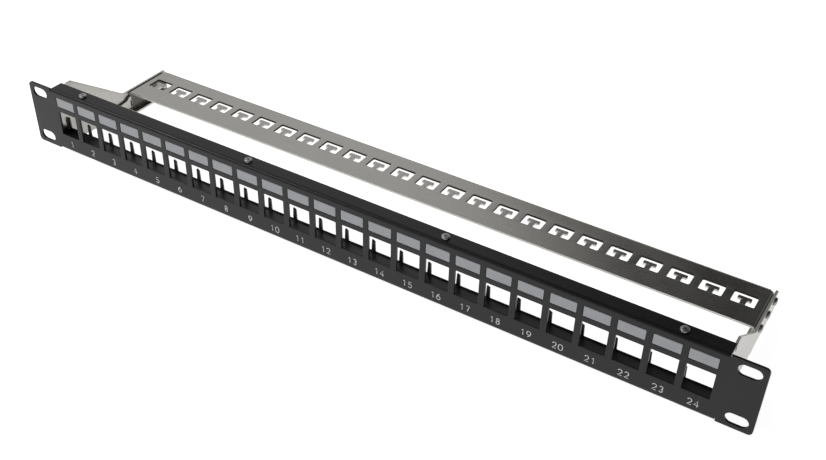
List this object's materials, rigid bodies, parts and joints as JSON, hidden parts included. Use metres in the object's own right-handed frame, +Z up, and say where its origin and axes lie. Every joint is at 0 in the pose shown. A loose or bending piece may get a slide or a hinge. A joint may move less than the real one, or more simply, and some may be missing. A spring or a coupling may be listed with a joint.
{
  "type": "patch panel",
  "caption": "One-unit 19-inch patch panel: a folded black sheet-steel front with snap-in jack openings and label fields, two tapered side arms and a rear cable tie bar.",
  "frame": {"origin": "centre of the front plate's rear face, the plane that seats on the rack rails", "axes": "+X along the panel to the right seen from the front, +Y backwards to the tie bar, +Z up"},
  "size_m": [0.4826, 0.0998, 0.0483],
  "materials": {
    "panel_paint": "fine-textured satin black powder coat",
    "ledge_paint": "semi-matt black paint",
    "zinc_steel": "satin zinc-plated rolled steel",
    "label": "matt light grey write-on film, also the printed port numbers",
    "screw_steel": "bright nickel-plated steel, cross recess"
  },
  "bodies": {
    "root": {"front_panel": "panel_paint", "upper_ledge": "ledge_paint", "lower_ledge": "ledge_paint", "cable_bar": "zinc_steel", "left_arm": "zinc_steel", "right_arm": "zinc_steel", "label_01": "label", "label_02": "label", "label_03": "label", "label_04": "label", "label_05": "label", "label_06": "label", "label_07": "label", "label_08": "label", "label_09": "label", "label_10": "label", "label_11": "label", "label_12": "label", "label_13": "label", "label_14": "label", "label_15": "label", "label_16": "label", "label_17": "label", "label_18": "label", "label_19": "label", "label_20": "label", "label_21": "label", "label_22": "label", "label_23": "label", "label_24": "label", "top_screw_1": "screw_steel", "top_screw_2": "screw_steel", "top_screw_3": "screw_steel", "top_screw_4": "screw_steel", "bottom_screw_1": "screw_steel", "bottom_screw_2": "screw_steel", "bottom_screw_3": "screw_steel", "bottom_screw_4": "screw_steel", "left_end_screw_1": "screw_steel", "left_end_screw_2": "screw_steel", "left_end_screw_3": "screw_steel", "right_end_screw_1": "screw_steel", "right_end_screw_2": "screw_steel", "right_end_screw_3": "screw_steel"}
  },
  "joints": []
}
